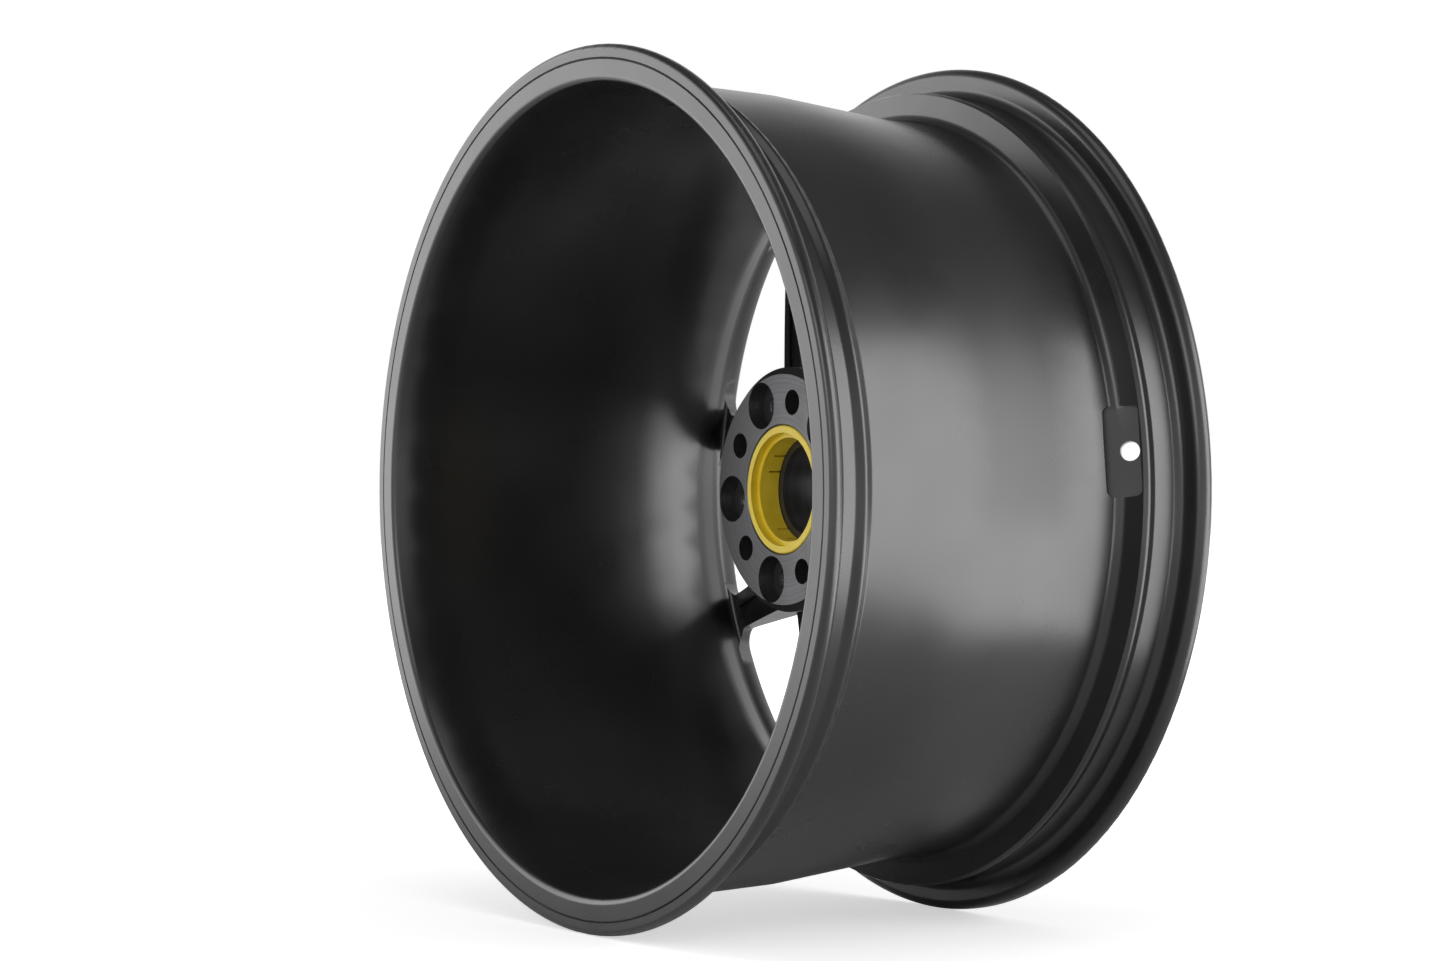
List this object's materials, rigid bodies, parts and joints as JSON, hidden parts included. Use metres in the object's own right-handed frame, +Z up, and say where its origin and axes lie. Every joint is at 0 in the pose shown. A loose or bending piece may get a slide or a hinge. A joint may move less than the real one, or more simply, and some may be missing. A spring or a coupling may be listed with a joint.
{
  "type": "car wheel",
  "caption": "Cast alloy car wheel with forked spokes and a deep barrel, fitted with a bolt-circle adapter, centring rings and cone-seat bolts.",
  "frame": {"origin": "centre of the wheel, on the axle line midway between the two flange faces", "axes": "+Y along the axle, out of the wheel's road face; +Z up; +X to the side"},
  "size_m": [0.522, 0.2612, 0.522],
  "materials": {
    "satin_black_paint": "satin black over cast alloy, bare machined pad",
    "black_anodised": "turned and black anodised",
    "lilac_plastic": "moulded, semi-gloss",
    "yellow_plastic": "moulded, semi-gloss",
    "bolt_chrome": "bright plated steel"
  },
  "bodies": {
    "root": {"alloy_wheel": "satin_black_paint", "wheel_adapter": "black_anodised", "wheel_centring_ring": "lilac_plastic", "hub_centring_ring": "yellow_plastic", "wheel_bolts": "bolt_chrome"}
  },
  "joints": []
}
